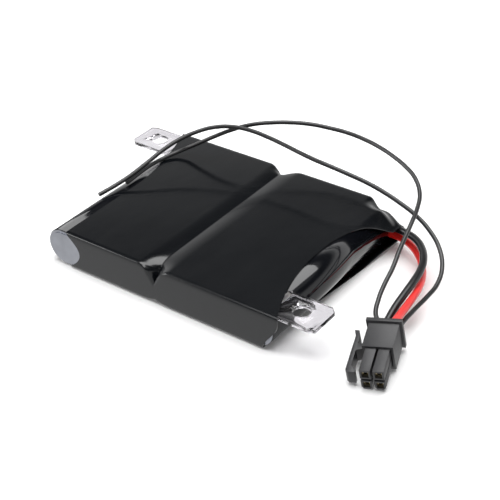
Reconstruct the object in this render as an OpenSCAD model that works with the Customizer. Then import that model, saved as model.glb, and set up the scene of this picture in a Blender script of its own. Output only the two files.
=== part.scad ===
// Battery module with two flat prismatic cells in a shrink film.
// Origin: centre of the footprint, on the surface it lies on. +X right, +Y back, +Z up.

/* [Cells] */
// Width of one cell, across its round edges
cell_w = 34; // [30:0.5:40]
// Length of one cell, along Y
cell_l = 50; // [44:0.5:60]
// Thickness of one cell
cell_t = 9.5; // [8.5:0.1:11]
// How far the rolled front end of a cell is set in
end_inset = 0.6; // [0.4:0.1:1]
// Depth of the rolled front end of a cell
end_depth = 0.3; // [0.2:0.1:0.6]
// Thickness of the jacket round each cell
jacket_t = 0.15; // [0.1:0.05:0.3]
// Width and height of the rivet terminal on a cell
rivet = [6, 2.6]; // [2:0.2:8]
// Height of the rivet terminal over the cell's end
rivet_h = 0.7; // [0.5:0.1:1]
// Washer under the rivet: width, height
washer = [12, 5]; // [5:0.5:14]
// Thickness of the washer under the rivet
washer_t = 0.3; // [0.2:0.1:0.4]

/* [Foam strip] */
// Gap between the two jackets, which the foam strip fills
strip_t = 0.9; // [0.6:0.1:1.6]
// Height of the foam strip
strip_h = 4.4; // [3:0.2:5]
// How far the strip stays back from the cells' front ends
strip_set = 3; // [2:0.5:8]

/* [Shrink film] */
// Thickness of the shrink film
film_t = 0.25; // [0.2:0.05:0.4]
// Outer radius of the film over the front and back edges
film_r = 0.8; // [0.7:0.05:1]
// How far the right mouth is set in at the middle of the side
mouth_in = 5.8; // [5:0.2:8]
// How far the left mouth is set in at the middle of the side
mouth_in_left = 6.8; // [5:0.2:9]
// Reach of the film over a tab, past the mouth's middle
tab_reach = 7.2; // [5:0.2:8]
// Reach of the film over the leads, past the mouth's middle
lead_reach = 8.3; // [7:0.2:9]
// How far the film closes down past the cell's shoulder, over the leads
lead_drape = 2.9; // [1:0.1:3]
// How far the film sags behind the right cell, past the end frame
bay_sag = 1.9; // [0.5:0.1:2]
// How far the back wall is drawn in at its right end
bay_draw = 4; // [1:0.1:4.2]
// How far the lower lip of the right mouth is set in at its middle
lip_in = 1.9; // [1.6:0.1:4]
// Half width of the valley in the film between the cells
valley_w = 4.6; // [3.8:0.1:4.8]
// Depth of the valley along the middle of the top
valley_d = 0.35; // [0.1:0.05:0.5]
// Extra depth of the dimple at the front edge
dimple_d = 2.05; // [1:0.05:2.2]
// Length over which the dimple fades
dimple_l = 3.6; // [2:0.2:5]
// How far the front face is drawn in at the dimple
dimple_in = 2.1; // [1:0.1:2.4]
// Depth of the notch in the back edge
notch_d = 2.6; // [1:0.1:2.7]
// Half width of the notch in the back edge
notch_w = 4.9; // [4:0.1:5]
// Depth of the groove under the pack
groove_d = 0.5; // [0.2:0.1:0.8]

/* [Mounting tabs] */
// Width of a mounting tab, along Y
tab_w = 9.8; // [9:0.2:14]
// Thickness of a mounting tab
tab_t = 1; // [0.8:0.1:1.2]
// Reach of a tab past the pack's side
tab_out = 10.4; // [9:0.2:14]
// How far a tab goes in over the cell's shoulder
tab_in = 3; // [2.8:0.1:3.2]
// Diameter of the screw hole in a tab
hole_d = 4.4; // [3:0.1:4.8]
// Distance from the pack's side to the hole's centre
hole_out = 3.9; // [3:0.1:4.5]
// Corner cut at the outer end of a tab
tab_cut = 1.4; // [0.5:0.1:3]
// Distance from the tab's edge to the inside of the film
tab_gap = 1; // [0.6:0.1:1.5]
// Thickness of the adhesive strip under a tab
tape_t = 0.15; // [0.1:0.05:0.3]

/* [Connection bay] */
// Room behind the cells for the links and the board
bay_l = 5.4; // [5.2:0.1:6]
// Thickness of the nickel links
link_t = 0.2; // [0.1:0.05:0.25]
// Height of the nickel links
link_h = 2.2; // [1.6:0.1:2.4]
// Reach of the positive link over each cell, from the middle
plus_reach = 11; // [8:0.5:11]
// Thickness of the insulating sheet
sheet_t = 0.2; // [0.1:0.05:0.3]
// Thickness of the protection board
board_t = 0.8; // [0.6:0.1:0.9]
// Wall of the end frames
frame_wall = 1; // [0.9:0.1:1.2]
// Distance from the middle to where each end frame starts
frame_start = 5.2; // [5.1:0.1:7]
// Distance from the middle to the open end of the right end frame
frame_end = 25; // [24:0.5:25.5]
// Solder post: length, depth, height
post = [3, 2, 1.9]; // [1.5:0.1:3]

/* [Leads] */
// Diameter of the power leads over the insulation
lead_d = 1.9; // [1.6:0.1:2]
// Diameter of the sense leads over the insulation
sense_d = 1.1; // [0.9:0.1:1.2]

/* [Connector] */
// Pitch of the connector's contacts
pitch = 3; // [3:0.1:3.4]
// Width and height of the connector's body
plug_body = [7, 6.6]; // [6.4:0.1:7.4]
// Length of the connector's body, with its rear flange
plug_body_l = 8.5; // [8:0.1:10]
// Width and height of the rear flange
plug_flange = [8.2, 8]; // [7.6:0.1:9]
// Thickness of the rear flange
plug_flange_t = 1; // [0.8:0.1:1.4]
// Side of one square contact tower
tower = 2.45; // [2.3:0.05:2.6]
// Length of the contact towers
tower_l = 7; // [6:0.1:8]
// Side of the square contact hole
contact = 1.6; // [1.4:0.05:1.7]
// Side of the cavity that takes a lead
cavity = 2.5; // [2.4:0.05:2.7]
// Depth of the cavity that takes a lead
cavity_l = 7; // [6:0.5:7.5]
// How deep a lead goes into its cavity
lead_in = 3; // [2:0.5:4]
// Gap between the latch arm and the body
latch_gap = 1.6; // [1.4:0.1:2.4]
// Thickness of the latch arm
latch_t = 1; // [0.8:0.1:1.3]
// Width of the latch arm
latch_w = 3.4; // [2.4:0.1:4]
// Where the latch arm starts and how long it is
latch_y = [2, 13]; // [1:0.5:13.5]

/* [Hidden] */
$fn = 64;

pack_w = 2 * cell_w + 4 * jacket_t + strip_t + 2 * film_t;
pack_l = cell_l + bay_l + 2 * film_t;
pack_h = cell_t + 2 * jacket_t + 2 * film_t;
half_l = pack_l / 2;
half_w = pack_w / 2;
mid_z = pack_h / 2;
in_front = -half_l + film_t;          // inside of the film's front wall
in_back = half_l - film_t;            // inside of the film's back wall
cell_back = in_front + cell_l;        // plane of the cells' back ends
cell_x = strip_t / 2 + jacket_t + cell_w / 2;
round_x = cell_x + (cell_w - cell_t) / 2; // centre of a cell's outer round edge
jacket_r = cell_t / 2 + jacket_t;
in_r = film_r - film_t;
in_top = pack_h - film_t;             // underside of the film's top
tab_y = in_back - tab_gap - tab_w / 2;
hole_x = half_w + hole_out;
link_y = cell_back + rivet_h;         // the negative link lies on the rivets
sheet_y = link_y + link_t;
board_y = sheet_y + sheet_t;
board_back = board_y + board_t;
board_x = frame_end + 2;              // half length of the board and its sheet
board_z0 = film_t + frame_wall;
board_z1 = in_top - frame_wall;
post_x = frame_end - 0.5 - post.x;    // left end of the solder posts
lead_y = board_back + 1.05;           // leads run just clear of the board
plus_z = 3.3;
minus_z = 6;

// Connector: the middle of its rear face, and how it lies turned on the table
plug_at = [55.1, -11.9, 4.9];
plug_yaw = 20;
plug_nose_down = 7;
plug_roll = 7;
tip_y = -plug_body_l - tower_l;
contact_back = -lead_in;

// A point in the connector's own axes (across, rearward, up) as a point of the part
p1 = [cos(plug_yaw), sin(plug_yaw), 0];
p2 = [-sin(plug_yaw) * cos(plug_nose_down), cos(plug_yaw) * cos(plug_nose_down), sin(plug_nose_down)];
p3 = cross(p1, p2);
plug_x = cos(plug_roll) * p1 + sin(plug_roll) * p3;
plug_z = cos(plug_roll) * p3 - sin(plug_roll) * p1;
function on_plug(q) = plug_at + q.x * plug_x + q.y * p2 + q.z * plug_z;

// Routes of the leads, as laid on the table and over the pack
black_route = concat(
    [[post_x + post.x, lead_y, minus_z], [27.5, lead_y, minus_z], [31.2, 24.6, 5.9], [34.8, 24, 6],
     [38.8, 23, 6.4], [43, 21.3, 6.8], [46.5, 18.4, 7], [49.2, 14.6, 7], [50.8, 10.3, 6.7],
     [51.5, 5.8, 6.3], [51.8, 1.2, 5.6], [52.1, -3.3, 4.8], [52.8, -8, 3.9]],
    [on_plug([-pitch / 2, 0.4, -pitch / 2]), on_plug([-pitch / 2, contact_back, -pitch / 2])]);
red_route = concat(
    [[post_x + post.x, lead_y, plus_z], [28, lead_y, plus_z], [32.8, 24.9, 3.2], [37.2, 24.3, 3.3],
     [41.3, 22.6, 3.4], [45.1, 19.7, 3.3], [48.2, 15.9, 3.4], [50.6, 11.7, 3.7], [52.3, 7.2, 4.2],
     [53.5, 2.5, 4.8], [54.4, -2.2, 5.4], [55.3, -7, 6]],
    [on_plug([pitch / 2, 0.4, pitch / 2]), on_plug([pitch / 2, contact_back, pitch / 2])]);
sense_a_route = concat(
    [on_plug([-pitch / 2, contact_back, pitch / 2]), on_plug([-pitch / 2, 0.2, pitch / 2])],
    [[51.1, -10.2, 6.8], [49.4, -6.2, 8], [48.4, -2, 9.3], [47.6, 2.8, 10.6], [46.4, 7.6, 12.1],
     [45.3, 12.4, 13.3], [44.3, 17, 14.5], [43.1, 21.5, 15.5], [40.9, 26.4, 16.8], [37.3, 30, 18.2],
     [33.5, 32.2, 18.9], [28.5, 34.2, 19.5], [23.5, 35.7, 19.9], [18.4, 36.6, 20.2], [13.1, 36.9, 20.4],
     [7.9, 36.4, 20.5], [2.8, 35, 20.8], [-1.9, 32.7, 21], [-6.4, 30, 20.9], [-10.7, 27.1, 20.4],
     [-14.9, 24.3, 19], [-19.1, 21.8, 16.9], [-23.3, 20, 14.4], [-27.5, 18, 12], [-30.1, 13.7, 11],
     [-30.9, 8.5, 10.9], [-30.7, 3.3, 10.9], [-30.3, -2, 10.9]]);
sense_b_route = concat(
    [on_plug([pitch / 2, contact_back, -pitch / 2]), on_plug([pitch / 2, 0.3, -pitch / 2])],
    [[55.9, -6.1, 4], [55.9, -0.9, 4.4], [56.1, 4.3, 4.8], [56, 9.4, 5.5], [54.5, 14.2, 7],
     [51.5, 17.9, 9.2], [47.4, 20.2, 11.5], [42.8, 21.5, 13.5], [37.9, 22.2, 15], [32.9, 22.6, 16.3],
     [27.7, 22.8, 17.3], [22.6, 22.6, 18.1], [17.4, 22.4, 18.8], [12.3, 22.6, 19.1], [7.1, 23.2, 19.4],
     [1.9, 23.8, 19.8], [-3.3, 24.2, 20.2], [-8.4, 24.1, 20.6], [-13.5, 23.2, 20.7], [-18.2, 21, 20.3],
     [-22, 17.5, 19.3], [-24.8, 13.4, 18], [-26.6, 8.8, 16.5], [-27.9, 4, 14.8], [-29.3, -0.7, 13.1],
     [-31.1, -5.4, 11.6], [-33, -10, 10.4]]);

// ---- shared shapes ----

// Outline of a flat cell: straight top and bottom, full round sides
module stadium(w, t) {
    square([w - t, t], center = true);
    for (s = [-1, 1]) translate([s * (w - t) / 2, 0]) circle(d = t);
}

// Runs an X-Z outline along Y, from y0 to y1
module along_y(y0, y1) {
    translate([0, y1, mid_z]) rotate([90, 0, 0]) linear_extrude(y1 - y0) children();
}

// A block between two corners
module block(a, b) { translate(a) cube(b - a); }

// A round tube swept along a route, with flat ends square to it
module lead(route, d, sides) {
    n = len(route);
    ring = [for (i = [0:n - 1])
        let (t = route[min(i + 1, n - 1)] - route[max(i - 1, 0)], side = cross(t, [0, 0, 1]),
             u = side / norm(side), v = cross(u, t) / norm(t))
        for (k = [0:sides - 1]) let (a = 360 * (k + 0.5) / sides)
            route[i] + d / 2 * (cos(a) * u + sin(a) * v)];
    polyhedron(ring, concat(
        [[for (k = [sides - 1:-1:0]) k]],
        [for (i = [0:n - 2], k = [0:sides - 1]) let (a = i * sides + k, b = i * sides + (k + 1) % sides)
            [a, b, b + sides, a + sides]],
        [[for (k = [0:sides - 1]) (n - 1) * sides + k]]));
}

// ---- the cells ----

module cell() {
    color([0.20, 0.21, 0.24]) {
        along_y(in_front + end_depth, cell_back) stadium(cell_w, cell_t);
        along_y(in_front, in_front + end_depth) stadium(cell_w - 2 * end_inset, cell_t - 2 * end_inset);
        along_y(cell_back, cell_back + rivet_h) square(rivet, center = true);
    }
}

module jacket() {
    color([0.05, 0.05, 0.06]) along_y(in_front + in_r, cell_back) difference() {
        stadium(cell_w + 2 * jacket_t, cell_t + 2 * jacket_t);
        stadium(cell_w, cell_t);
    }
}

module left_cell() { translate([-cell_x, 0, 0]) cell(); }
module right_cell() { translate([cell_x, 0, 0]) cell(); }
module left_jacket() { translate([-cell_x, 0, 0]) jacket(); }
module right_jacket() { translate([cell_x, 0, 0]) jacket(); }

// Foam strip that fills the waist between the two round sides
module foam_strip() {
    color([0.85, 0.85, 0.80]) along_y(in_front + strip_set, cell_back - 0.5) difference() {
        square([cell_t, strip_h], center = true);
        for (s = [-1, 1]) translate([s * cell_x, 0]) stadium(cell_w + 2 * jacket_t, cell_t + 2 * jacket_t);
    }
}

module rivet_washer() {
    color([0.90, 0.90, 0.86]) along_y(cell_back, cell_back + washer_t) difference() {
        square(washer, center = true);
        square(rivet, center = true);
    }
}

module left_washer() { translate([-cell_x, 0, 0]) rivet_washer(); }
module right_washer() { translate([cell_x, 0, 0]) rivet_washer(); }

// ---- links and board behind the cells ----

// Joins the two cans, with a finger over the board's top edge
module positive_link() {
    color([0.75, 0.75, 0.72]) {
        block([-plus_reach, cell_back, board_z1 - link_h], [plus_reach, cell_back + link_t, board_z1]);
        block([1.5, cell_back, board_z1 - link_h], [4.5, cell_back + link_t, board_z1 + link_t]);
        block([1.5, cell_back, board_z1], [4.5, board_back, board_z1 + link_t]);
    }
}

// Joins the two rivets, with a finger under the board's bottom edge
module negative_link() {
    color([0.75, 0.75, 0.72]) {
        block([-cell_x - rivet.x / 2, link_y, mid_z - link_h / 2], [cell_x + rivet.x / 2, sheet_y, mid_z + link_h / 2]);
        block([-4.5, link_y, board_z0 - link_t], [-1.5, sheet_y, mid_z]);
        block([-4.5, link_y, board_z0 - link_t], [-1.5, board_back, board_z0]);
    }
}

module insulating_sheet() {
    color([0.92, 0.90, 0.82]) block([-board_x, sheet_y, board_z0], [board_x, board_y, board_z1]);
}

module protection_board() {
    color([0.10, 0.35, 0.20]) block([-board_x, board_y, board_z0], [board_x, board_back, board_z1]);
}

// A small part on the back face of the board
module chip(x, w, h, t) { block([x, board_back, mid_z - h / 2], [x + w, board_back + t, mid_z + h / 2]); }

module control_chip() { color([0.08, 0.08, 0.09]) chip(-16, 5, 4, 1.1); }
module power_switch() { color([0.08, 0.08, 0.09]) chip(8, 6, 5, 1); }
module fuse_chip() { color([0.15, 0.45, 0.25]) chip(-26, 4.6, 3.2, 1.2); }

module solder_post(z) {
    block([post_x, board_back, z - post.z / 2], [post_x + post.x, board_back + post.y, z + post.z / 2]);
}

module positive_post() { color([0.78, 0.78, 0.76]) solder_post(plus_z); }
module negative_post() { color([0.78, 0.78, 0.76]) solder_post(minus_z); }

// ---- end frames: shallow trays that carry the film round the bay ----

module frame_half() {
    difference() {
        union() {
            along_y(cell_back, in_back - in_r) stadium(cell_w + 2 * jacket_t, cell_t + 2 * jacket_t);
            along_y(in_back - in_r, in_back)
                stadium(cell_w + 2 * jacket_t - 2 * in_r, cell_t + 2 * jacket_t - 2 * in_r);
        }
        along_y(cell_back - 1, in_back - in_r)
            stadium(cell_w + 2 * jacket_t - 2 * frame_wall, cell_t + 2 * jacket_t - 2 * frame_wall);
        block([-cell_x - 1, cell_back - 1, 0], [frame_start - cell_x, in_back + 1, pack_h]);
    }
}

module left_end_frame() {
    color([0.12, 0.12, 0.13]) mirror([1, 0, 0]) translate([cell_x, 0, 0]) frame_half();
}

// The right frame stops short, so the leads come out of its open end
module right_end_frame() {
    color([0.12, 0.12, 0.13]) difference() {
        translate([cell_x, 0, 0]) frame_half();
        block([frame_end, cell_back - 1, 0], [half_w + 1, in_back + 1, pack_h]);
    }
}

// ---- mounting tabs ----

// Clear plate with a screw hole, hollowed underneath to sit on the cell's round shoulder
module tab() {
    x0 = half_w - tab_in;
    x1 = half_w + tab_out;
    y0 = tab_y - tab_w / 2;
    y1 = tab_y + tab_w / 2;
    color([0.86, 0.88, 0.90]) difference() {
        translate([0, 0, in_top - tab_t]) linear_extrude(tab_t) difference() {
            polygon([[x0, y0], [x1 - tab_cut, y0], [x1, y0 + tab_cut], [x1, y1 - tab_cut / 2],
                     [x1 - tab_cut, y1], [x0, y1]]);
            translate([hole_x, tab_y]) circle(d = hole_d);
        }
        translate([round_x, y0 - 1, mid_z]) rotate([-90, 0, 0]) cylinder(r = jacket_r + tape_t, h = tab_w + 2);
    }
}

// Adhesive strip between the cell's shoulder and the tab
module tab_tape() {
    color([0.80, 0.80, 0.76]) intersection() {
        translate([round_x, tab_y - tab_w / 2 + 0.5, mid_z]) rotate([-90, 0, 0]) difference() {
            cylinder(r = jacket_r + tape_t, h = tab_w - 1);
            translate([0, 0, -1]) cylinder(r = jacket_r, h = tab_w + 1);
        }
        block([half_w - tab_in, 0, in_top - tab_t], [half_w, half_l, in_top - film_r / 4]);
    }
}

// Each tab is at its own corner: the second is the first turned half round
module left_tab() { mirror([1, 0, 0]) tab(); }
module right_tab() { mirror([0, 1, 0]) tab(); }
module left_tab_tape() { mirror([1, 0, 0]) tab_tape(); }
module right_tab_tape() { mirror([0, 1, 0]) tab_tape(); }

// ---- shrink film ----

function ease(t) = let (c = max(0, min(1, t))) c * c * (3 - 2 * c);
function fade(d, l) = exp(-(d / l) * (d / l));
// Half width of the waist between the two jackets at height z
function waist(z) = strip_t / 2 + jacket_r - sqrt(max(0, jacket_r * jacket_r - (z - mid_z) * (z - mid_z)));

// Film section at rest: a rounded rectangle as points [y, z], inset by e
function film_loop(e) = let (a = half_l - e, b = mid_z - e, r = film_r - e) concat(
    [for (y = [-25, -21.5, -17.5, -12.5, -7, -1, 5, 10, 14, 17.5, 20.5, 23.5, 25.5]) [y, mid_z - b]],
    [for (k = [0:3]) [a - r + r * sin(30 * k), mid_z - b + r - r * cos(30 * k)]],
    [for (z = [0.28, 0.5, 0.72]) [a, z * pack_h]],
    [for (k = [0:3]) [a - r + r * cos(30 * k), mid_z + b - r + r * sin(30 * k)]],
    [for (y = [26.4, 25, 23.6, 22.4, 20.8, 19.2, 17.5, 15.8, 14, 12, 9.5, 5, -1, -7, -12.5, -17.5, -21, -23.5, -25.5])
        [y, mid_z + b]],
    [for (k = [0:3]) [-a + r - r * sin(30 * k), mid_z + b - r + r * cos(30 * k)]],
    [for (z = [0.82, 0.7, 0.58, 0.46, 0.3]) [-a, z * pack_h]],
    [for (k = [0:3]) [-a + r - r * cos(30 * k), mid_z - b + r - r * sin(30 * k)]]);

// Where the film ends on the right and on the left, at a section point
function up(p) = max(0, min(1, p[1] / pack_h));
function mouth_right(p) = let (
    top = half_w - mouth_in + (p[0] < 0 ? tab_reach * pow(-p[0] / half_l, 2.2)
        : lead_reach * pow(min(1, p[0] / (half_l - 7)), 2.4)),
    lip = half_w - lip_in + 0.1 * p[0] + 1.6 * pow(max(0, -p[0] / half_l), 3))
    lip + (top - lip) * ease(1.2 * up(p));
function mouth_left(p) = -half_w + mouth_in_left - (p[0] > 0
    ? tab_reach * pow(p[0] / half_l, 1.6) * (0.35 + 0.65 * up(p))
    : 4.2 * pow(-p[0] / half_l, 6) * sin(180 * up(p)));

// Section point p at station x, with the valley, the dimple, the notch and the drape
function film_point(p, x) = let (
    s = pow(max(0, 1 - abs(x) / valley_w), 2),
    front = half_l + p[0], back = half_l - p[0],
    high = max(0, (p[1] - mid_z) / mid_z), low = max(0, (mid_z - p[1]) / mid_z),
    slit = 0.7 * waist(min(p[1], in_top)),
    draw = dimple_in * pow(max(0, 1 - abs(x) / slit), 1.2) * fade(front, 2.4) * ease((high - 0.1) * 1.4),
    past = min(1, pow(max(0, x - round_x - 1.8) / 5, 1.25)) * ease((p[0] - 9) / 10),
    sag = ease((x - frame_end - 1) / 4) * ease((p[0] - cell_back - 1.2) / 3.8) * (1 - past),
    cut = notch_d * pow(max(0, 1 - abs(x) / notch_w), 1.3) * fade(back, 2.4)
        + bay_draw * (0.35 * ease((x - frame_end - 1) / 4) + 0.65 * ease((x - round_x - 1.5) / 7))
            * ease((p[0] - cell_back + 3.3) / 9) * (0.4 + 0.6 * high),
    top = s * (valley_d + dimple_d * fade(front, dimple_l) + 0.8 * fade(back, 2.2))
        + lead_drape * past + bay_sag * sag,
    under = s * (0.2 + groove_d * (fade(front, 5) + fade(back, 4))) + 0.5 * lead_drape * past)
    [x, p[0] + draw - cut, p[1] - high * top + low * under];

// Stations across the film: fixed ones over the cells, then spread out to each mouth
film_mid = [-22, -14, -5.2, -4.6, -3.5, -2.6, -1.8, -1.1, -0.5, 0, 0.5, 1.1, 1.8, 2.6, 3.5, 4.6, 5.2, 14, 22];
film_left = [0.5, 0.8, 1];
film_right = [0.2, 0.34, 0.44, 0.53, 0.62, 0.72, 0.82, 0.91, 1];
function film_xs(p) = concat(
    [for (i = [len(film_left) - 1:-1:0]) film_mid[0] + film_left[i] * (mouth_left(p) - film_mid[0])],
    film_mid,
    [for (t = film_right) film_mid[len(film_mid) - 1] + t * (mouth_right(p) - film_mid[len(film_mid) - 1])]);

module shrink_film() {
    outer = film_loop(0);
    inner = film_loop(film_t);
    n = len(outer);
    m = len(film_xs(outer[0]));
    points = [for (side = [outer, inner], k = [0:n - 1]) let (xs = film_xs(outer[k]))
        for (i = [0:m - 1]) film_point(side[k], xs[i])];
    function at(side, k, i) = (side * n + k % n) * m + i;
    color([0.06, 0.06, 0.07]) polyhedron(points, concat(
        [for (k = [0:n - 1], i = [0:m - 2]) [at(0, k, i), at(0, k, i + 1), at(0, k + 1, i)]],
        [for (k = [0:n - 1], i = [0:m - 2]) [at(0, k, i + 1), at(0, k + 1, i + 1), at(0, k + 1, i)]],
        [for (k = [0:n - 1], i = [0:m - 2]) [at(1, k, i), at(1, k + 1, i), at(1, k, i + 1)]],
        [for (k = [0:n - 1], i = [0:m - 2]) [at(1, k, i + 1), at(1, k + 1, i), at(1, k + 1, i + 1)]],
        [for (k = [0:n - 1]) [at(0, k, 0), at(0, k + 1, 0), at(1, k + 1, 0), at(1, k, 0)]],
        [for (k = [0:n - 1]) [at(0, k, m - 1), at(1, k, m - 1), at(1, k + 1, m - 1), at(0, k + 1, m - 1)]]));
}

// ---- leads ----

module red_lead() { color([0.85, 0.12, 0.10]) lead(red_route, lead_d, 8); }
module black_lead() { color([0.07, 0.07, 0.08]) lead(black_route, lead_d, 8); }
module sense_lead_a() { color([0.07, 0.07, 0.08]) lead(sense_a_route, sense_d, 8); }
module sense_lead_b() { color([0.07, 0.07, 0.08]) lead(sense_b_route, sense_d, 8); }

// ---- connector ----

// Puts its children where the connector lies: across, rearward, up
module on_table() {
    translate(plug_at) rotate([0, 0, plug_yaw]) rotate([plug_nose_down, 0, 0]) rotate([0, -plug_roll, 0])
        children();
}

// A block of the connector: size across and up, from y0 rearward to y1
module bar(size, y0, y1) { translate([-size[0] / 2, y0, -size[1] / 2]) cube([size[0], y1 - y0, size[1]]); }

// One contact tower: the lower ones have cut corners, so the plug fits one way only
module tower_block(lower) {
    difference() {
        bar([tower, tower], tip_y, -plug_body_l + 0.5);
        if (lower) for (s = [-1, 1])
            translate([s * tower / 2, tip_y - 1, -tower / 2]) rotate([0, 45, 0])
                translate([-0.4, 0, -0.4]) cube([0.8, tower_l + 1, 0.8]);
    }
}

// Latch arm beside the body: thumb end at the back, hook at the front, one bridge
module latch_arm() {
    x0 = -plug_body[0] / 2 - latch_gap - latch_t;
    y0 = -latch_y[0] - latch_y[1];
    translate([0, 0, -latch_w / 2]) linear_extrude(latch_w) polygon([
        [x0, y0 + 0.6], [x0 + 0.6, y0], [x0 + latch_t + 1.2, y0], [x0 + latch_t + 1.2, y0 + 0.9],
        [x0 + latch_t, y0 + 2.2], [x0 + latch_t, -8.2], [-plug_body[0] / 2 + 0.3, -7.6],
        [-plug_body[0] / 2 + 0.3, -6.2], [x0 + latch_t, -6], [x0 + latch_t, -latch_y[0] - 1.6],
        [x0 + latch_t - 0.5, -latch_y[0]], [x0 - 0.6, -latch_y[0]], [x0, -latch_y[0] - 1.8]]);
}

module connector_housing() {
    color([0.13, 0.13, 0.14]) on_table() difference() {
        union() {
            bar(plug_flange, -plug_flange_t, 0);
            bar(plug_body, -plug_body_l, -plug_flange_t + 0.1);
            for (x = [-1, 1], z = [-1, 1]) translate([x, 0, z] * pitch / 2) tower_block(z < 0);
            latch_arm();
        }
        for (x = [-1, 1], z = [-1, 1]) translate([x, 0, z] * pitch / 2) {
            bar([contact, contact], tip_y - 1, 0);
            bar([cavity, cavity], -cavity_l, 1);
        }
        // recess round the towers, open at the step
        difference() {
            bar(plug_body - [1.2, 1.2], -plug_body_l - 1, -plug_body_l + 1);
            for (x = [-1, 1], z = [-1, 1]) translate([x, 0, z] * pitch / 2)
                bar([tower, tower], -plug_body_l - 2, -plug_body_l + 2);
        }
    }
}

// Crimped contact: square box with a blind socket in the tower, round barrel on the lead
module crimp_contact(x, z) {
    color([0.72, 0.66, 0.50]) on_table() translate([x, 0, z] * pitch / 2) {
        difference() {
            bar([contact, contact], tip_y + 0.7, -cavity_l);
            bar([contact - 0.7, contact - 0.7], tip_y, tip_y + 5);
        }
        translate([0, -cavity_l, 0]) rotate([-90, 0, 0]) cylinder(d = contact, h = cavity_l - lead_in);
    }
}

module positive_contact() { crimp_contact(1, 1); }
module negative_contact() { crimp_contact(-1, -1); }
module sense_contact_a() { crimp_contact(-1, 1); }
module sense_contact_b() { crimp_contact(1, -1); }

shrink_film();
left_cell();
right_cell();
left_jacket();
right_jacket();
foam_strip();
left_washer();
right_washer();
positive_link();
negative_link();
insulating_sheet();
protection_board();
control_chip();
power_switch();
fuse_chip();
positive_post();
negative_post();
left_end_frame();
right_end_frame();
left_tab();
right_tab();
left_tab_tape();
right_tab_tape();
red_lead();
black_lead();
sense_lead_a();
sense_lead_b();
connector_housing();
positive_contact();
negative_contact();
sense_contact_a();
sense_contact_b();
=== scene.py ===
import bmesh
import bpy
import math
from mathutils import Matrix, Vector


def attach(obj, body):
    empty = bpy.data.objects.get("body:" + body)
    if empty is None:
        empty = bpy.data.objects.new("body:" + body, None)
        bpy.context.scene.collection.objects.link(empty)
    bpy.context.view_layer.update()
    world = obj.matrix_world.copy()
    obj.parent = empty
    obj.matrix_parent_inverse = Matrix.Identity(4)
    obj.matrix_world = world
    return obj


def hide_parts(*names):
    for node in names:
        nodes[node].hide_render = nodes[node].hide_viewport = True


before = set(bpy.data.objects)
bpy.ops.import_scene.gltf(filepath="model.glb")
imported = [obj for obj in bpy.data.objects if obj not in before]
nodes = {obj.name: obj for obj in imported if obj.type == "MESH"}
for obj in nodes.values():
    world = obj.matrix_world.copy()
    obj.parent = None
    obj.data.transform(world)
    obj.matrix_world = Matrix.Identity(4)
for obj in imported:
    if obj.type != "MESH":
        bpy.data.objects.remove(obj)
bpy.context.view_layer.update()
for o in bpy.context.selected_objects:
    o.select_set(False)

# ---- Camera ----
# A product shot from the front right, above the pack, with a long lens.
camera_data = bpy.data.cameras.new("product_camera")
camera_data.lens = 90.6
camera_data.sensor_width = 36
camera_data.clip_start = 0.01
camera = bpy.data.objects.new("product_camera", camera_data)
bpy.context.collection.objects.link(camera)
back = Vector((0.510, -0.652, 0.5605)).normalized()
right = Vector((0.788, 0.616, 0.0)).normalized()
up = back.cross(right)
camera.matrix_world = (Matrix.Translation((0.1691, -0.2061, 0.1798))
                       @ Matrix((right, up, back)).transposed().to_4x4()
                       @ Matrix.Rotation(math.radians(-2.77), 4, "Z"))
bpy.context.scene.camera = camera

# ---- Leads ----
# Flexible stranded wire in PVC insulation. The two thick ones feed the load, red for plus and
# black for minus, and run from the board to the plug. The two thin ones are for sensing: they
# leave the plug, arch back over the pack and end bare, cut square.
mm = 0.001
plug_at = Vector((55.1, -11.9, 4.9))
yaw, nose_down, roll = math.radians(20), math.radians(7), math.radians(7)
p1 = Vector((math.cos(yaw), math.sin(yaw), 0))
plug_y = Vector((-math.sin(yaw) * math.cos(nose_down), math.cos(yaw) * math.cos(nose_down),
                 math.sin(nose_down)))
p3 = p1.cross(plug_y)
plug_x = math.cos(roll) * p1 + math.sin(roll) * p3
plug_z = math.cos(roll) * p3 - math.sin(roll) * p1


def on_plug(across, rearward, upward):
    return plug_at + across * plug_x + rearward * plug_y + upward * plug_z


black_route = [
    (24.5, 25.25, 6), (27.5, 25.25, 6), (31.2, 24.6, 5.9), (34.8, 24, 6), (38.8, 23, 6.4),
    (43, 21.3, 6.8), (46.5, 18.4, 7), (49.2, 14.6, 7), (50.8, 10.3, 6.7), (51.5, 5.8, 6.3),
    (51.8, 1.2, 5.6), (52.1, -3.3, 4.8), (52.8, -8, 3.9), on_plug(-1.5, 0.4, -1.5), on_plug(-1.5, -3, -1.5)]
red_route = [
    (24.5, 25.25, 3.3), (28, 25.25, 3.3), (32.8, 24.9, 3.2), (37.2, 24.3, 3.3), (41.3, 22.6, 3.4),
    (45.1, 19.7, 3.3), (48.2, 15.9, 3.4), (50.6, 11.7, 3.7), (52.3, 7.2, 4.2), (53.5, 2.5, 4.8),
    (54.4, -2.2, 5.4), (55.3, -7, 6), on_plug(1.5, 0.4, 1.5), on_plug(1.5, -3, 1.5)]
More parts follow.
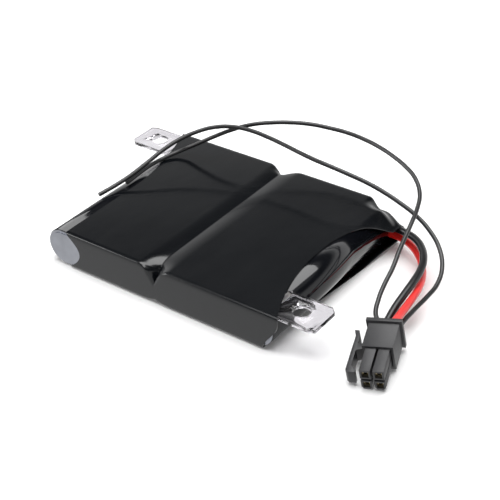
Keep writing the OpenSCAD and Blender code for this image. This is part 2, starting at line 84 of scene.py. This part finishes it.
sense_a_route = [
    on_plug(-1.5, -3, 1.5), on_plug(-1.5, 0.2, 1.5), (51.1, -10.2, 6.8), (49.4, -6.2, 8), (48.4, -2, 9.3),
    (47.6, 2.8, 10.6), (46.4, 7.6, 12.1), (45.3, 12.4, 13.3), (44.3, 17, 14.5), (43.1, 21.5, 15.5),
    (40.9, 26.4, 16.8), (37.3, 30, 18.2), (33.5, 32.2, 18.9), (28.5, 34.2, 19.5), (23.5, 35.7, 19.9),
    (18.4, 36.6, 20.2), (13.1, 36.9, 20.4), (7.9, 36.4, 20.5), (2.8, 35, 20.8), (-1.9, 32.7, 21),
    (-6.4, 30, 20.9), (-10.7, 27.1, 20.4), (-14.9, 24.3, 19), (-19.1, 21.8, 16.9), (-23.3, 20, 14.4),
    (-27.5, 18, 12), (-30.1, 13.7, 11), (-30.9, 8.5, 10.9), (-30.7, 3.3, 10.9), (-30.3, -2, 10.9)]
sense_b_route = [
    on_plug(1.5, -3, -1.5), on_plug(1.5, 0.3, -1.5), (55.9, -6.1, 4), (55.9, -0.9, 4.4), (56.1, 4.3, 4.8),
    (56, 9.4, 5.5), (54.5, 14.2, 7), (51.5, 17.9, 9.2), (47.4, 20.2, 11.5), (42.8, 21.5, 13.5),
    (37.9, 22.2, 15), (32.9, 22.6, 16.3), (27.7, 22.8, 17.3), (22.6, 22.6, 18.1), (17.4, 22.4, 18.8),
    (12.3, 22.6, 19.1), (7.1, 23.2, 19.4), (1.9, 23.8, 19.8), (-3.3, 24.2, 20.2), (-8.4, 24.1, 20.6),
    (-13.5, 23.2, 20.7), (-18.2, 21, 20.3), (-22, 17.5, 19.3), (-24.8, 13.4, 18), (-26.6, 8.8, 16.5),
    (-27.9, 4, 14.8), (-29.3, -0.7, 13.1), (-31.1, -5.4, 11.6), (-33, -10, 10.4)]


def insulation(name, colour, roughness, coat):
    """Extruded PVC: a slow drift of colour along the wire and a faint pull grain."""
    material = bpy.data.materials.new(name)
    material.use_nodes = True
    tree = material.node_tree
    shader = tree.nodes["Principled BSDF"]
    shader.inputs["Roughness"].default_value = roughness
    shader.inputs["Coat Weight"].default_value = coat
    shader.inputs["Coat Roughness"].default_value = 0.12
    where = tree.nodes.new("ShaderNodeTexCoord")
    drift = tree.nodes.new("ShaderNodeTexNoise")
    drift.inputs["Scale"].default_value = 260
    drift.inputs["Detail"].default_value = 3
    tree.links.new(where.outputs["Object"], drift.inputs["Vector"])
    tint = tree.nodes.new("ShaderNodeValToRGB")
    tint.color_ramp.elements[0].position = 0.3
    tint.color_ramp.elements[0].color = (*[c * 0.82 for c in colour], 1)
    tint.color_ramp.elements[1].position = 0.75
    tint.color_ramp.elements[1].color = (*[min(1, c * 1.12 + 0.002) for c in colour], 1)
    tree.links.new(drift.outputs["Fac"], tint.inputs["Fac"])
    tree.links.new(tint.outputs["Color"], shader.inputs["Base Color"])
    grain = tree.nodes.new("ShaderNodeTexNoise")
    grain.inputs["Scale"].default_value = 2600
    grain.inputs["Detail"].default_value = 2
    tree.links.new(where.outputs["Object"], grain.inputs["Vector"])
    bump = tree.nodes.new("ShaderNodeBump")
    bump.inputs["Strength"].default_value = 0.08
    bump.inputs["Distance"].default_value = 0.00005
    tree.links.new(grain.outputs["Fac"], bump.inputs["Height"])
    tree.links.new(bump.outputs["Normal"], shader.inputs["Normal"])
    return material


red_pvc = insulation("red_pvc_insulation", (0.74, 0.02, 0.016), 0.3, 0.2)
black_pvc = insulation("black_pvc_insulation", (0.004, 0.004, 0.005), 0.3, 0.15)

for name, route, diameter, pvc in (
        ("red_lead", red_route, 1.9, red_pvc), ("black_lead", black_route, 1.9, black_pvc),
        ("sense_lead_a", sense_a_route, 1.1, black_pvc), ("sense_lead_b", sense_b_route, 1.1, black_pvc)):
    curve = bpy.data.curves.new(name + "_wire", "CURVE")
    curve.dimensions = "3D"
    curve.bevel_depth = diameter / 2 * mm
    curve.bevel_resolution = 5
    curve.resolution_u = 6
    curve.use_fill_caps = True
    line = curve.splines.new("BEZIER")
    line.bezier_points.add(len(route) - 1)
    for knot, point in zip(line.bezier_points, route):
        knot.co = Vector(point) * mm
        knot.handle_left_type = knot.handle_right_type = "AUTO"
    wire = bpy.data.objects.new(name + "_wire", curve)
    bpy.context.collection.objects.link(wire)
    curve.materials.append(pvc)
    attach(wire, "root")
    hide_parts(name)

# ---- Shrink film ----
# A sleeve of black PVC film, shrunk with hot air over the cells and the board. It is open on the
# left and right, where it grips the tabs and lets the leads out, and it sinks in between the
# cells. Made as one sheet wrapped round the pack, then given its thickness.
half_l, half_w, pack_h = 27.95, 35.0, 10.3
mid_z, film_r, film_t = pack_h / 2, 0.8, 0.25
round_x, jacket_r, cell_back, frame_end = 29.85, 4.9, 22.3, 25.0
mouth_in, mouth_in_left, lip_in = 5.8, 6.8, 1.9
tab_reach, lead_reach, lead_drape = 7.2, 8.3, 2.9
bay_sag, bay_draw = 1.9, 4.0
valley_w, valley_d, dimple_d, dimple_l, dimple_in = 4.6, 0.35, 2.05, 3.6, 2.1
notch_d, notch_w, groove_d = 2.6, 4.9, 0.5


def ease(t):
    c = max(0.0, min(1.0, t))
    return c * c * (3 - 2 * c)


def fade(d, length):
    return math.exp(-(d / length) ** 2)


def mouth_right(y, z):
    level = max(0.0, min(1.0, z / pack_h))
    top = half_w - mouth_in + (tab_reach * (-y / half_l) ** 2.2 if y < 0
                               else lead_reach * min(1, y / (half_l - 7)) ** 2.4)
    lip = half_w - lip_in + 0.1 * y + 1.6 * max(0, -y / half_l) ** 3
    return lip + (top - lip) * ease(1.2 * level)


def mouth_left(y, z):
    level = max(0.0, min(1.0, z / pack_h))
    if y > 0:
        return -half_w + mouth_in_left - tab_reach * (y / half_l) ** 1.6 * (0.35 + 0.65 * level)
    return -half_w + mouth_in_left + 4.2 * (-y / half_l) ** 6 * math.sin(math.pi * level)


def film_point(y, z, x):
    """Where the film lies, from its place on the unshrunk sleeve."""
    s = max(0, 1 - abs(x) / valley_w) ** 2
    front, rear = half_l + y, half_l - y
    high, low = max(0, (z - mid_z) / mid_z), max(0, (mid_z - z) / mid_z)
    level = min(z, pack_h - film_t)
    slit = 0.7 * (0.45 + jacket_r - math.sqrt(max(0, jacket_r ** 2 - (level - mid_z) ** 2)))
    draw = dimple_in * max(0, 1 - abs(x) / slit) ** 1.2 * fade(front, 2.4) * ease((high - 0.1) * 1.4)
    past = min(1, (max(0, x - round_x - 1.8) / 5) ** 1.25) * ease((y - 9) / 10)
    sag = ease((x - frame_end - 1) / 4) * ease((y - cell_back - 1.2) / 3.8) * (1 - past)
    cut = (notch_d * max(0, 1 - abs(x) / notch_w) ** 1.3 * fade(rear, 2.4)
           + bay_draw * (0.35 * ease((x - frame_end - 1) / 4) + 0.65 * ease((x - round_x - 1.5) / 7))
           * ease((y - cell_back + 3.3) / 9) * (0.4 + 0.6 * high))
    top = (s * (valley_d + dimple_d * fade(front, dimple_l) + 0.8 * fade(rear, 2.2))
           + lead_drape * past + bay_sag * sag)
    under = s * (0.2 + groove_d * (fade(front, 5) + fade(rear, 4))) + 0.5 * lead_drape * past
    return Vector((x, y + draw - cut, z - high * top + low * under)) * mm


# the sleeve's section, walked round from the bottom front corner
section = []
flat_steps, wall_steps, bend_steps = 58, 10, 7
edge_crowding = 0.06  # draws the rows on the flats towards the front and back edges
for (y0, z0), (y1, z1), steps, corner in (
        ((-half_l + film_r, 0), (half_l - film_r, 0), flat_steps, (half_l - film_r, film_r, -90)),
        ((half_l, film_r), (half_l, pack_h - film_r), wall_steps, (half_l - film_r, pack_h - film_r, 0)),
        ((half_l - film_r, pack_h), (-half_l + film_r, pack_h), flat_steps,
         (-half_l + film_r, pack_h - film_r, 90)),
        ((-half_l, pack_h - film_r), (-half_l, film_r), wall_steps, (-half_l + film_r, film_r, 180))):
    for i in range(steps):
        t = i / steps
        if steps == flat_steps:
            t -= edge_crowding * math.sin(2 * math.pi * t)
        section.append((y0 + t * (y1 - y0), z0 + t * (z1 - z0)))
    cy, cz, start = corner
    for i in range(bend_steps):
        a = math.radians(start + 90 * i / bend_steps)
        section.append((cy + film_r * math.cos(a), cz + film_r * math.sin(a)))
around = len(section)
flank = [5.6, 6.6, 8, 10, 13, 16, 19, 22]
valley = [-5 + 0.25 * i for i in range(41)]
core = [-x for x in reversed(flank)] + valley + flank
left_steps, right_steps = 14, 34
along = left_steps + len(core) + right_steps
bpy.ops.mesh.primitive_grid_add(x_subdivisions=around, y_subdivisions=along - 1, size=1)
film = bpy.context.object
film.name = "shrink_film_sleeve"
film.data.name = film.name
same_place = 1e-6  # vertices closer than this are one
mesh = bmesh.new()
mesh.from_mesh(film.data)
mesh.verts.ensure_lookup_table()
for v in mesh.verts:
    i = round((v.co.x + 0.5) * around) % around
    j = round((v.co.y + 0.5) * (along - 1))
    y, z = section[i]
    if j < left_steps:
        end = mouth_left(y, z)
        x = end + (core[0] - end) * (j / left_steps)
    elif j < left_steps + len(core):
        x = core[j - left_steps]
    else:
        end = mouth_right(y, z)
        x = core[-1] + (end - core[-1]) * ((j - left_steps - len(core) + 1) / right_steps)
    v.co = film_point(y, z, x)
bmesh.ops.remove_doubles(mesh, verts=mesh.verts, dist=same_place)
bmesh.ops.recalc_face_normals(mesh, faces=mesh.faces)
centre = Vector((0, 0, mid_z * mm))
outward = sum((f.normal.dot(f.calc_center_median() - centre) for f in mesh.faces))
if outward < 0:
    bmesh.ops.reverse_faces(mesh, faces=mesh.faces)
mesh.to_mesh(film.data)
mesh.free()
wall = film.modifiers.new("film_thickness", "SOLIDIFY")
wall.thickness = 0.9 * film_t * mm  # clear of the jackets under it
wall.offset = -1
bpy.ops.object.modifier_apply(modifier=wall.name)
bpy.ops.object.shade_smooth_by_angle(angle=math.radians(50))
film.select_set(False)

film_black = bpy.data.materials.new("black_shrink_film")
film_black.use_nodes = True
tree = film_black.node_tree
shader = tree.nodes["Principled BSDF"]
shader.inputs["IOR"].default_value = 1.5
where = tree.nodes.new("ShaderNodeTexCoord")
stretch = tree.nodes.new("ShaderNodeMapping")
stretch.inputs["Scale"].default_value = (1.0, 0.45, 1.0)
tree.links.new(where.outputs["Object"], stretch.inputs["Vector"])
haze = tree.nodes.new("ShaderNodeTexNoise")
haze.inputs["Scale"].default_value = 45
haze.inputs["Detail"].default_value = 4
tree.links.new(stretch.outputs["Vector"], haze.inputs["Vector"])
gloss = tree.nodes.new("ShaderNodeMapRange")
gloss.inputs["From Min"].default_value = 0.3
gloss.inputs["From Max"].default_value = 0.75
gloss.inputs["To Min"].default_value = 0.13
gloss.inputs["To Max"].default_value = 0.22
tree.links.new(haze.outputs["Fac"], gloss.inputs["Value"])
tree.links.new(gloss.outputs["Result"], shader.inputs["Roughness"])
tint = tree.nodes.new("ShaderNodeValToRGB")
tint.color_ramp.elements[0].color = (0.0015, 0.002, 0.003, 1)
tint.color_ramp.elements[1].color = (0.003, 0.0038, 0.005, 1)
tree.links.new(haze.outputs["Fac"], tint.inputs["Fac"])
tree.links.new(tint.outputs["Color"], shader.inputs["Base Color"])
ripple = tree.nodes.new("ShaderNodeTexNoise")
ripple.inputs["Scale"].default_value = 120
ripple.inputs["Detail"].default_value = 3
tree.links.new(stretch.outputs["Vector"], ripple.inputs["Vector"])
bump = tree.nodes.new("ShaderNodeBump")
bump.inputs["Strength"].default_value = 0.12
bump.inputs["Distance"].default_value = 0.0003
tree.links.new(ripple.outputs["Fac"], bump.inputs["Height"])
tree.links.new(bump.outputs["Normal"], shader.inputs["Normal"])
film.data.materials.append(film_black)
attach(film, "root")
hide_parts("shrink_film")


# ---- Cells, jackets and the parts of the bay ----
# Rolled steel cans in thin black jackets, with a foam strip between them; behind them moulded
# frames, nickel links, paper, a small board and its parts. Little of this shows past the film.
def finish_of(name, colour, roughness, metallic=0.0, grain=900, grain_height=0.00003,
              spread=0.15, stretch=(1, 1, 1)):
    """A plain finish with a drift of colour, a drift of gloss and a fine grain."""
    material = bpy.data.materials.new(name)
    material.use_nodes = True
    tree = material.node_tree
    shader = tree.nodes["Principled BSDF"]
    shader.inputs["Metallic"].default_value = metallic
    where = tree.nodes.new("ShaderNodeTexCoord")
    turned = tree.nodes.new("ShaderNodeMapping")
    turned.inputs["Scale"].default_value = stretch
    tree.links.new(where.outputs["Object"], turned.inputs["Vector"])
    noise = tree.nodes.new("ShaderNodeTexNoise")
    noise.inputs["Scale"].default_value = grain / 4
    noise.inputs["Detail"].default_value = 5
    tree.links.new(turned.outputs["Vector"], noise.inputs["Vector"])
    tint = tree.nodes.new("ShaderNodeValToRGB")
    tint.color_ramp.elements[0].position = 0.3
    tint.color_ramp.elements[0].color = (*[c * (1 - spread) for c in colour], 1)
    tint.color_ramp.elements[1].position = 0.7
    tint.color_ramp.elements[1].color = (*[min(1, c * (1 + spread)) for c in colour], 1)
    tree.links.new(noise.outputs["Fac"], tint.inputs["Fac"])
    tree.links.new(tint.outputs["Color"], shader.inputs["Base Color"])
    gloss = tree.nodes.new("ShaderNodeMapRange")
    gloss.inputs["To Min"].default_value = roughness * 0.8
    gloss.inputs["To Max"].default_value = min(1, roughness * 1.2)
    tree.links.new(noise.outputs["Fac"], gloss.inputs["Value"])
    tree.links.new(gloss.outputs["Result"], shader.inputs["Roughness"])
    fine = tree.nodes.new("ShaderNodeTexNoise")
    fine.inputs["Scale"].default_value = grain
    fine.inputs["Detail"].default_value = 3
    tree.links.new(turned.outputs["Vector"], fine.inputs["Vector"])
    bump = tree.nodes.new("ShaderNodeBump")
    bump.inputs["Strength"].default_value = 0.3
    bump.inputs["Distance"].default_value = grain_height
    tree.links.new(fine.outputs["Fac"], bump.inputs["Height"])
    tree.links.new(bump.outputs["Normal"], shader.inputs["Normal"])
    return material


jacket_black = finish_of("black_cell_jacket", (0.004, 0.0045, 0.006), 0.09, grain=500, grain_height=0.00004)
jacket_black.node_tree.nodes["Principled BSDF"].inputs["IOR"].default_value = 1.5
can_steel = finish_of("cell_can_steel", (0.30, 0.31, 0.34), 0.3, metallic=1.0, stretch=(1, 0.1, 1))
foam_white = finish_of("foam_strip_white", (0.75, 0.75, 0.70), 0.9, grain=1500, grain_height=0.0001)
paper = finish_of("insulating_paper", (0.80, 0.76, 0.62), 0.85, grain=2500)
nickel = finish_of("nickel_strip", (0.70, 0.69, 0.65), 0.28, metallic=1.0, stretch=(0.1, 1, 1))
board_green = finish_of("board_solder_mask", (0.02, 0.16, 0.07), 0.3)
epoxy = finish_of("moulded_epoxy", (0.012, 0.012, 0.014), 0.55)
fuse_green = finish_of("polymer_fuse", (0.05, 0.22, 0.10), 0.6)
solder = finish_of("solder_fillet", (0.72, 0.72, 0.70), 0.22, metallic=1.0)
frame_black = finish_of("moulded_frame_black", (0.02, 0.02, 0.022), 0.5)
tape_white = finish_of("adhesive_strip", (0.62, 0.62, 0.58), 0.75)
brass = finish_of("tinned_brass", (0.70, 0.60, 0.38), 0.25, metallic=1.0)
for name, material in (
        ("left_cell", can_steel), ("right_cell", can_steel), ("left_jacket", jacket_black),
        ("right_jacket", jacket_black), ("foam_strip", foam_white), ("left_washer", paper),
        ("right_washer", paper), ("positive_link", nickel), ("negative_link", nickel),
        ("insulating_sheet", paper), ("protection_board", board_green), ("control_chip", epoxy),
        ("power_switch", epoxy), ("fuse_chip", fuse_green), ("positive_post", solder),
        ("negative_post", solder), ("left_end_frame", frame_black), ("right_end_frame", frame_black),
        ("left_tab_tape", tape_white), ("right_tab_tape", tape_white), ("positive_contact", brass),
        ("negative_contact", brass), ("sense_contact_a", brass), ("sense_contact_b", brass)):
    node = nodes[name]
    node.data.materials.clear()
    node.data.materials.append(material)
for name in ("left_jacket", "right_jacket"):
    weld = nodes[name].modifiers.new("weld", "WELD")
    weld.merge_threshold = same_place
    nodes[name].data.polygons.foreach_set("use_smooth", [True] * len(nodes[name].data.polygons))

# ---- Mounting tabs ----
# Clear polycarbonate plates at opposite corners, each stuck over a cell's shoulder under the film,
# with a screw hole. Sawn edges, slightly rounded.
clear = bpy.data.materials.new("clear_polycarbonate")
clear.use_nodes = True
tree = clear.node_tree
shader = tree.nodes["Principled BSDF"]
shader.inputs["Base Color"].default_value = (0.82, 0.80, 0.84, 1)
shader.inputs["Transmission Weight"].default_value = 1.0
shader.inputs["IOR"].default_value = 1.5
where = tree.nodes.new("ShaderNodeTexCoord")
scuff = tree.nodes.new("ShaderNodeTexNoise")
scuff.inputs["Scale"].default_value = 400
scuff.inputs["Detail"].default_value = 4
tree.links.new(where.outputs["Object"], scuff.inputs["Vector"])
gloss = tree.nodes.new("ShaderNodeMapRange")
gloss.inputs["To Min"].default_value = 0.02
gloss.inputs["To Max"].default_value = 0.10
tree.links.new(scuff.outputs["Fac"], gloss.inputs["Value"])
tree.links.new(gloss.outputs["Result"], shader.inputs["Roughness"])
bump = tree.nodes.new("ShaderNodeBump")
bump.inputs["Strength"].default_value = 0.15
bump.inputs["Distance"].default_value = 0.00005
tree.links.new(scuff.outputs["Fac"], bump.inputs["Height"])
tree.links.new(bump.outputs["Normal"], shader.inputs["Normal"])


def softened(name, piece_name, corner, material):
    """The solid's own shape, with its facets merged and its sharp edges slightly rounded."""
    piece = nodes[name].copy()
    piece.data = nodes[name].data.copy()
    piece.parent = None
    piece.name = piece_name
    for key in list(piece.keys()):
        del piece[key]
    piece.matrix_world = Matrix.Identity(4)
    bpy.context.collection.objects.link(piece)
    bpy.context.view_layer.objects.active = piece
    piece.select_set(True)
    weld = piece.modifiers.new("weld", "WELD")
    weld.merge_threshold = same_place
    bpy.ops.object.modifier_apply(modifier=weld.name)
    bpy.ops.object.mode_set(mode="EDIT")
    bpy.ops.mesh.select_all(action="SELECT")
    bpy.ops.mesh.dissolve_limited(angle_limit=math.radians(1))
    bpy.ops.object.mode_set(mode="OBJECT")
    edge = piece.modifiers.new("rounded_edges", "BEVEL")
    edge.width = 0.12 * mm
    edge.segments = 2
    edge.limit_method = "ANGLE"
    edge.angle_limit = math.radians(corner)
    bpy.ops.object.modifier_apply(modifier=edge.name)
    bpy.ops.object.shade_smooth_by_angle(angle=math.radians(30))
    piece.data.materials.clear()
    piece.data.materials.append(material)
    piece.select_set(False)
    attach(piece, "root")
    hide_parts(name)
    return piece


for name in ("left_tab", "right_tab"):
    softened(name, name + "_clear_plate", 35, clear)

# ---- Connector ----
# Moulded black nylon housing for four crimped contacts, with a keyed front of square towers and a
# latch arm on its left side.
nylon = finish_of("black_nylon", (0.018, 0.018, 0.02), 0.46, grain=5200, grain_height=0.00004)
housing = softened("connector_housing", "connector_housing_moulding", 30, nylon)

# ---- Table and light ----
# A white table that runs into a white sweep, a darker studio above it, and a large soft light
# overhead with a weaker one on the left.
bpy.ops.mesh.primitive_plane_add(size=4, location=(0, 0, -0.00005))
table = bpy.context.object
table.name = "white_table"
table.select_set(False)
paper_white = bpy.data.materials.new("white_table_paper")
paper_white.use_nodes = True
tree = paper_white.node_tree
shader = tree.nodes["Principled BSDF"]
shader.inputs["Base Color"].default_value = (0.9, 0.9, 0.9, 1)
shader.inputs["Roughness"].default_value = 0.9
shader.inputs["Specular IOR Level"].default_value = 0
glow = tree.nodes.new("ShaderNodeEmission")
glow.inputs["Strength"].default_value = 1.0
seen = tree.nodes.new("ShaderNodeLightPath")
either = tree.nodes.new("ShaderNodeMath")
either.operation = "MAXIMUM"
tree.links.new(seen.outputs["Is Glossy Ray"], either.inputs[0])
tree.links.new(seen.outputs["Is Transmission Ray"], either.inputs[1])
mix = tree.nodes.new("ShaderNodeMixShader")
tree.links.new(either.outputs["Value"], mix.inputs["Fac"])
tree.links.new(shader.outputs["BSDF"], mix.inputs[1])
tree.links.new(glow.outputs["Emission"], mix.inputs[2])
tree.links.new(mix.outputs["Shader"], tree.nodes["Material Output"].inputs["Surface"])
table.data.materials.append(paper_white)

world = bpy.data.worlds.new("studio")
bpy.context.scene.world = world
world.use_nodes = True
tree = world.node_tree
tree.nodes.clear()
where = tree.nodes.new("ShaderNodeTexCoord")
split = tree.nodes.new("ShaderNodeSeparateXYZ")
tree.links.new(where.outputs["Generated"], split.inputs["Vector"])
sweep = tree.nodes.new("ShaderNodeValToRGB")
sweep.color_ramp.interpolation = "EASE"
stops = [(0.0, 1.0), (0.40, 0.9), (0.50, 0.38), (0.57, 0.06), (0.72, 0.04), (0.86, 0.45), (1.0, 0.9)]
while len(sweep.color_ramp.elements) < len(stops):
    sweep.color_ramp.elements.new(0.5)
for element, (position, level) in zip(sweep.color_ramp.elements, stops):
    element.position = position
    element.color = (level, level, level, 1)
tree.links.new(split.outputs["Z"], sweep.inputs["Fac"])
studio = tree.nodes.new("ShaderNodeBackground")
tree.links.new(sweep.outputs["Color"], studio.inputs["Color"])
studio.inputs["Strength"].default_value = 1.0
white = tree.nodes.new("ShaderNodeBackground")
white.inputs["Color"].default_value = (1, 1, 1, 1)
seen = tree.nodes.new("ShaderNodeLightPath")
mix = tree.nodes.new("ShaderNodeMixShader")
tree.links.new(seen.outputs["Is Camera Ray"], mix.inputs["Fac"])
tree.links.new(studio.outputs["Background"], mix.inputs[1])
tree.links.new(white.outputs["Background"], mix.inputs[2])
out = tree.nodes.new("ShaderNodeOutputWorld")
tree.links.new(mix.outputs["Shader"], out.inputs["Surface"])

for name, place, size, power in (
        ("overhead_softbox", (0.0, 0.05, 0.55), 0.5, 4.0), ("left_softbox", (-0.5, -0.25, 0.35), 0.3, 1.5)):
    lamp = bpy.data.lights.new(name, "AREA")
    lamp.shape = "RECTANGLE"
    lamp.size = lamp.size_y = size
    lamp.energy = power
    light = bpy.data.objects.new(name, lamp)
    light.location = place
    light.rotation_mode = "QUATERNION"
    light.rotation_quaternion = (-Vector(place)).to_track_quat("-Z", "Y")
    bpy.context.collection.objects.link(light)

bpy.context.scene.view_settings.view_transform = "Standard"
